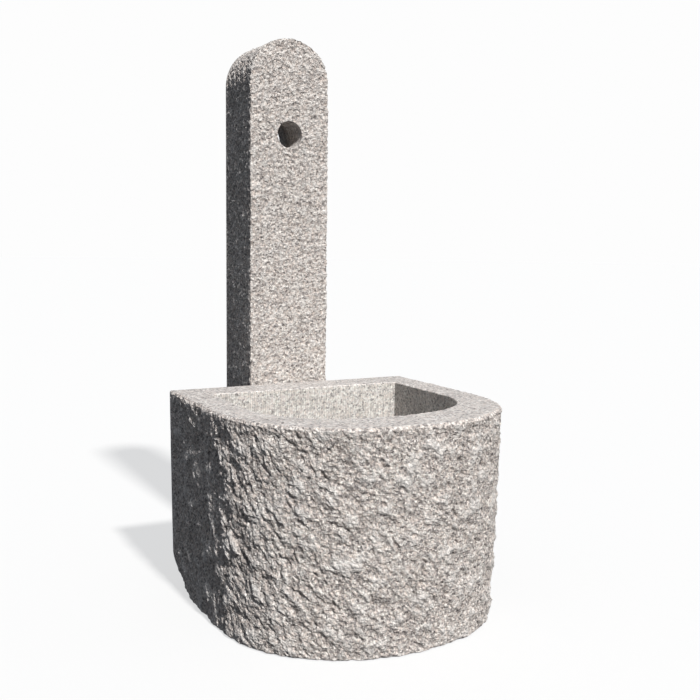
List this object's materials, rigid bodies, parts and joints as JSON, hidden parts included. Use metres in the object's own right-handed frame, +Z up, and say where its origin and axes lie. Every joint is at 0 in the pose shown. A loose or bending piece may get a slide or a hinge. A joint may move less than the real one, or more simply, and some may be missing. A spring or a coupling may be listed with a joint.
{
  "type": "garden fountain",
  "caption": "Granite garden fountain: D-shaped rough-pointed trough with standpipe waste, and a round-headed column behind it with a bored tap hole and a pipe chase.",
  "frame": {"origin": "on the ground, in the middle of the plan rectangle that holds trough and column", "axes": "+Z up, +X across the width, -Y towards the front of the trough"},
  "size_m": [0.6, 0.757, 1.245],
  "materials": {
    "granite_trough": "rough-pointed sides, fine bush-hammered rim",
    "granite_column": "bush-hammered",
    "rubber": "matte",
    "stainless": "brushed",
    "zinc_steel": "zinc plated",
    "brass": "satin",
    "copper": "drawn tube, dulled",
    "nylon": "matte"
  },
  "bodies": {
    "stones": {"basin": "granite_trough", "column": "granite_column", "spacer_pads": "rubber", "tie_dowels": "stainless", "waste_body": "stainless", "waste_gasket": "rubber", "waste_under_gasket": "rubber", "waste_slip_washer": "nylon", "waste_back_nut": "brass", "feed_pipe": "copper", "feed_elbow": "brass", "feed_union": "brass", "pipe_clip_fronts": "zinc_steel", "pipe_clip_backs": "zinc_steel", "pipe_clip_liners": "rubber", "pipe_clip_screws": "zinc_steel", "pipe_clip_studs": "zinc_steel", "wall_plugs": "nylon"},
    "standpipe": {"standpipe_plug": "brass", "standpipe_seal": "rubber", "standpipe_tube": "stainless", "standpipe_strainer": "stainless", "standpipe_knob": "stainless"}
  },
  "joints": [
    {"name": "standpipe_lift", "type": "slide", "parent": "stones", "child": "standpipe", "axis": [0, 0, 1], "range_m": [0, 0.4]}
  ]
}
